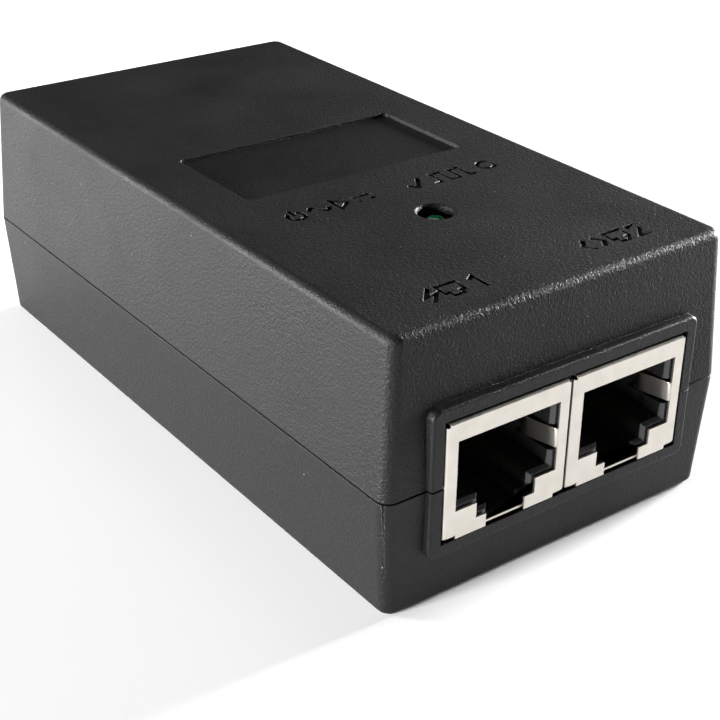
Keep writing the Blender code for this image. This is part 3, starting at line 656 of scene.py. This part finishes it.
def makeLamp():
    height = lampShape["top"] - lampShape["base"]
    deselectAll()
    bpy.ops.mesh.primitive_cylinder_add(
        vertices=48, radius=lampShape["radius"], depth=height,
        location=(lampShape["x"], lampShape["y"], lampShape["base"] + height / 2))
    piece = bpy.context.object
    piece.name = "statusLamp"
    bpy.ops.object.transform_apply(location=True, rotation=True, scale=True)
    softenEdges(piece, lambda edge: all(v.co.z > lampShape["top"] - near for v in edge.verts),
                lampShape["dome"], 10)
    mesh = openMesh(piece, "FACE")
    for face in mesh.faces:
        if face.normal.z < -0.9:
            face.select_set(True)
    bmesh.update_edit_mesh(piece.data)
    bpy.ops.transform.translate(value=(0, 0, lampShape["flangeHeight"]))
    bpy.ops.mesh.extrude_region_move(TRANSFORM_OT_translate={"value": (0, 0, 0)})
    wider = lampShape["flangeRadius"] / lampShape["radius"]
    for vert in {v for f in bmesh.from_edit_mesh(piece.data).faces if f.select for v in f.verts}:
        vert.co.x *= wider
        vert.co.y = lampShape["y"] + (vert.co.y - lampShape["y"]) * wider
    bpy.ops.mesh.extrude_region_move(TRANSFORM_OT_translate={"value": (0, 0, -lampShape["flangeHeight"])})
    bpy.ops.mesh.select_all(action="SELECT")
    bpy.ops.mesh.normals_make_consistent(inside=False)
    closeMesh()
    softenEdges(piece, lambda edge: isCreased(edge, 60), lampShape["flangeRound"], 2)
    smoothOver(piece, 40)
    piece.data.materials.append(makeLampEpoxyWithPaintedGlow())
    standFor(piece, ["status_lamp"], "case")


makeLamp()
print("lamp made")


# Mains inlet

inlet = {"tone": "#151516", "rear": 44.2 * mm, "rimRound": 0.35 * mm, "cavityRound": 0.30 * mm}
pin = {
    "wide": 2.0 * mm, "tall": 4.0 * mm, "front": 42.7 * mm, "back": 20.2 * mm,
    "noseRound": 0.55 * mm, "edgeRound": 0.18 * mm,
    "places": {"line": (-7.0, 14.9), "neutral": (7.0, 14.9), "earth": (0.0, 18.9)},  # x and z in mm
}


def makeNickel():
    # brass pins, drawn then nickel plated: cool bright metal with long fine draw lines
    look = {"tone": "#c9c6be", "shade": "#a9a59b", "line": 0.09 * mm}
    material, tree, shader = newFinish("nickel-plated brass", {
        "Base Color": toLinear(look["tone"]), "Metallic": 1.0, "Roughness": 0.22})
    place = addNode(tree, "ShaderNodeTexCoord").outputs["Object"]
    drawn = addNode(tree, "ShaderNodeMapping", {"Scale": (1.0, 0.05, 1.0)},
                    {"Vector": place}).outputs["Vector"]
    lines = addNode(tree, "ShaderNodeTexNoise", {"Scale": 1 / look["line"], "Detail": 2.0},
                    {"Vector": drawn})
    tones = addNode(tree, "ShaderNodeMix",
                    {"data_type": "RGBA", 6: toLinear(look["tone"]), 7: toLinear(look["shade"])},
                    {0: lines.outputs["Fac"]})
    tree.links.new(tones.outputs[2], shader.inputs["Base Color"])
    bump = addNode(tree, "ShaderNodeBump", {"Strength": 0.5, "Distance": 0.002 * mm},
                   {"Height": lines.outputs["Fac"]})
    tree.links.new(bump.outputs["Normal"], shader.inputs["Normal"])
    return material


def makeInlet():
    piece = copyOfNode("inlet_body", "inletBody")

    def onRim(edge):
        return isCreased(edge, 30) and all(v.co.y > inlet["rear"] - near for v in edge.verts)

    def onCavityCorner(edge):
        along = (edge.verts[1].co - edge.verts[0].co).normalized()
        return isCreased(edge, 30) and not edge.is_convex and abs(along.y) > straight

    print("  inlet corners", softenEdges(piece, onCavityCorner, inlet["cavityRound"], 3))
    print("  inlet rim", softenEdges(piece, onRim, inlet["rimRound"], 3))
    smoothOver(piece, 35)
    piece.data.materials.append(makeSocketPlastic("black glass-filled PBT", inlet["tone"]))
    standFor(piece, ["inlet_body"], "case")


def makePins():
    nickel = makeNickel()
    x, z = pin["places"]["line"]
    deselectAll()
    bpy.ops.mesh.primitive_cube_add(size=1, location=(x * mm, (pin["front"] + pin["back"]) / 2, z * mm))
    piece = bpy.context.object
    piece.name = "inletPinLine"
    piece.scale = (pin["wide"], pin["front"] - pin["back"], pin["tall"])
    bpy.ops.object.transform_apply(location=True, rotation=True, scale=True)
    softenEdges(piece, lambda edge: all(v.co.y > pin["front"] - near for v in edge.verts),
                pin["noseRound"], 4)
    softenEdges(piece, lambda edge: isCreased(edge, 60), pin["edgeRound"], 2)
    smoothOver(piece, 40)
    piece.data.materials.append(nickel)
    for word, (toX, toZ) in pin["places"].items():
        shift = Vector((toX - x, 0, toZ - z)) * mm
        made = piece if word == "line" else placeCopy(piece, f"inletPin{word.title()}", shift)
        standFor(made, [f"inlet_pin_{word}"], "case")


makeInlet()
makePins()
print("inlet made")


# Label underneath

label = {
    "width": 30.0 * mm, "length": 56.0 * mm, "top": 0.35 * mm, "thick": 0.20 * mm,
    "cornerRound": 1.5 * mm, "edgeRound": 0.04 * mm, "frameInset": 1.4 * mm, "lineWidth": 0.22 * mm,
}


def makeLabelFilm():
    # polyester film, metallised and printed: satin silver with a fine crosshatch and a thin printed frame
    look = {"tone": "#a7a9ab", "ink": "#1b1c1e", "hatch": 0.12 * mm}
    material, tree, shader = newFinish("metallised polyester film", {
        "Base Color": toLinear(look["tone"]), "Metallic": 0.6, "Roughness": 0.38})
    place = addNode(tree, "ShaderNodeTexCoord").outputs["Object"]
    parts = addNode(tree, "ShaderNodeSeparateXYZ", {}, {"Vector": place})
    far = []
    for axis, reach in (("X", label["width"] / 2), ("Y", label["length"] / 2)):
        out = addNode(tree, "ShaderNodeMath", {"operation": "ABSOLUTE"}, {0: parts.outputs[axis]})
        frameAt = reach - label["frameInset"]
        past = addNode(tree, "ShaderNodeMath", {"operation": "SUBTRACT", 1: frameAt}, {0: out.outputs[0]})
        far.append(past)
    edge = addNode(tree, "ShaderNodeMath", {"operation": "MAXIMUM"},
                   {0: far[0].outputs[0], 1: far[1].outputs[0]})
    line = addNode(tree, "ShaderNodeMath", {"operation": "COMPARE", 1: 0.0, 2: label["lineWidth"] / 2},
                   {0: edge.outputs[0]})
    tones = addNode(tree, "ShaderNodeMix",
                    {"data_type": "RGBA", 6: toLinear(look["tone"]), 7: toLinear(look["ink"])},
                    {0: line.outputs[0]})
    tree.links.new(tones.outputs[2], shader.inputs["Base Color"])
    hatch = addNode(tree, "ShaderNodeTexNoise", {"Scale": 1 / look["hatch"], "Detail": 1.0},
                    {"Vector": place})
    rough = addNode(tree, "ShaderNodeMapRange",
                    {"From Min": 0.3, "From Max": 0.7, "To Min": 0.32, "To Max": 0.44},
                    {"Value": hatch.outputs["Fac"]})
    tree.links.new(rough.outputs["Result"], shader.inputs["Roughness"])
    bump = addNode(tree, "ShaderNodeBump", {"Strength": 0.4, "Distance": 0.003 * mm},
                   {"Height": hatch.outputs["Fac"]})
    tree.links.new(bump.outputs["Normal"], shader.inputs["Normal"])
    return material


def makeLabel():
    deselectAll()
    bpy.ops.mesh.primitive_cube_add(size=1, location=(0, 0, label["top"] - label["thick"] / 2))
    piece = bpy.context.object
    piece.name = "ratingLabel"
    piece.scale = (label["width"], label["length"], label["thick"])
    bpy.ops.object.transform_apply(location=True, rotation=True, scale=True)
    softenEdges(piece, lambda edge: abs((edge.verts[0].co - edge.verts[1].co).z) > 0.9 * label["thick"],
                label["cornerRound"], 8)
    softenEdges(piece, isCreased, label["edgeRound"], 2)
    smoothOver(piece, 40)
    piece.data.materials.append(makeLabelFilm())
    standFor(piece, ["rating_label"], "case")


makeLabel()
print("label made")


# Parts on the board, which keep their CAD shape

partLooks = {
    # finish: tone, second tone, pattern size in mm, its stretch, roughness, metallic, relief depth in mm
    # FR4 laminate under solder mask: green gloss over a faint glass weave
    "FR4 under solder mask": ("#0f4a2a", "#1c6b3c", 0.9, (1, 1, 1), (0.30, 0.42), 0.0, 0.010),
    # sintered ferrite, tumbled: dark grey and slightly sandy
    "tumbled ferrite": ("#2c2c2e", "#3d3d40", 0.25, (1, 1, 1), (0.55, 0.70), 0.0, 0.012),
    # polyester tape, wound: glossy yellow with the overlap of its turns
    "wound polyester tape": ("#d9a520", "#c08a10", 1.2, (0.2, 0.2, 1), (0.25, 0.38), 0.0, 0.030),
    # enamelled copper wire: red-brown gloss
    "enamelled copper wire": ("#b4622c", "#8c4720", 0.5, (1, 1, 0.3), (0.20, 0.34), 0.9, 0.060),
    # PVC sleeve, shrunk: dark blue-black with soft creases
    "shrunk PVC sleeve": ("#1a2238", "#232c46", 1.4, (1, 1, 0.4), (0.28, 0.40), 0.0, 0.015),
    # epoxy moulding compound: black and finely matt
    "epoxy moulding compound": ("#1c1c1d", "#2a2a2b", 0.15, (1, 1, 1), (0.50, 0.64), 0.0, 0.006),
    # aluminium sheet, rolled and sheared: pale with lines along the sheet
    "rolled aluminium sheet": ("#b9bbbe", "#a2a4a8", 0.12, (1, 0.05, 1), (0.32, 0.46), 1.0, 0.004),
    # PBT box, moulded: yellow with a slight sheen
    "yellow PBT box": ("#c8971c", "#b58614", 0.8, (1, 1, 1), (0.36, 0.48), 0.0, 0.006),
    # fuse cover, moulded nylon: dark brown, waxy
    "brown nylon": ("#4a2a1a", "#5c3722", 0.6, (1, 1, 1), (0.40, 0.52), 0.0, 0.008),
    # tinned copper lead: soft bright grey
    "tinned copper lead": ("#c9c7c2", "#aeaca6", 0.2, (1, 1, 0.1), (0.24, 0.38), 1.0, 0.003),
}
partFinish = {
    "FR4 under solder mask": ["circuit_board"],
    "tumbled ferrite": ["transformer_core", "choke_core"],
    "wound polyester tape": ["transformer_coil"],
    "enamelled copper wire": ["choke_winding_line", "choke_winding_neutral"],
    "shrunk PVC sleeve": ["bulk_capacitor", "output_capacitor"],
    "epoxy moulding compound": ["bridge_rectifier", "switching_transistor", "output_diode",
                                "feedback_coupler", "control_chip"],
    "rolled aluminium sheet": ["primary_heat_sink", "output_heat_sink"],
    "yellow PBT box": ["interference_capacitor"],
    "brown nylon": ["mains_fuse"],
    "tinned copper lead": ["lamp_lead_anode", "lamp_lead_cathode"],
}


def makePartFinish(name, look):
    tone, second, size, stretch, roughness, metallic, depth = look
    material, tree, shader = newFinish(name, {"Base Color": toLinear(tone), "Metallic": metallic})
    place = addNode(tree, "ShaderNodeTexCoord").outputs["Object"]
    drawn = addNode(tree, "ShaderNodeMapping", {"Scale": stretch}, {"Vector": place}).outputs["Vector"]
    grain = addNode(tree, "ShaderNodeTexNoise", {"Scale": 1 / (size * mm), "Detail": 3.0},
                    {"Vector": drawn})
    tones = addNode(tree, "ShaderNodeMix", {"data_type": "RGBA", 6: toLinear(tone), 7: toLinear(second)},
                    {0: grain.outputs["Fac"]})
    tree.links.new(tones.outputs[2], shader.inputs["Base Color"])
    rough = addNode(tree, "ShaderNodeMapRange",
                    {"From Min": 0.3, "From Max": 0.7, "To Min": roughness[0], "To Max": roughness[1]},
                    {"Value": grain.outputs["Fac"]})
    tree.links.new(rough.outputs["Result"], shader.inputs["Roughness"])
    bump = addNode(tree, "ShaderNodeBump", {"Strength": 1.0, "Distance": depth * mm},
                   {"Height": grain.outputs["Fac"]})
    tree.links.new(bump.outputs["Normal"], shader.inputs["Normal"])
    return material


for finishName, nodes in partFinish.items():
    material = makePartFinish(finishName, partLooks[finishName])
    for node in nodes:
        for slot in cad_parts[node].material_slots:
            slot.material = material
print("parts on the board finished")
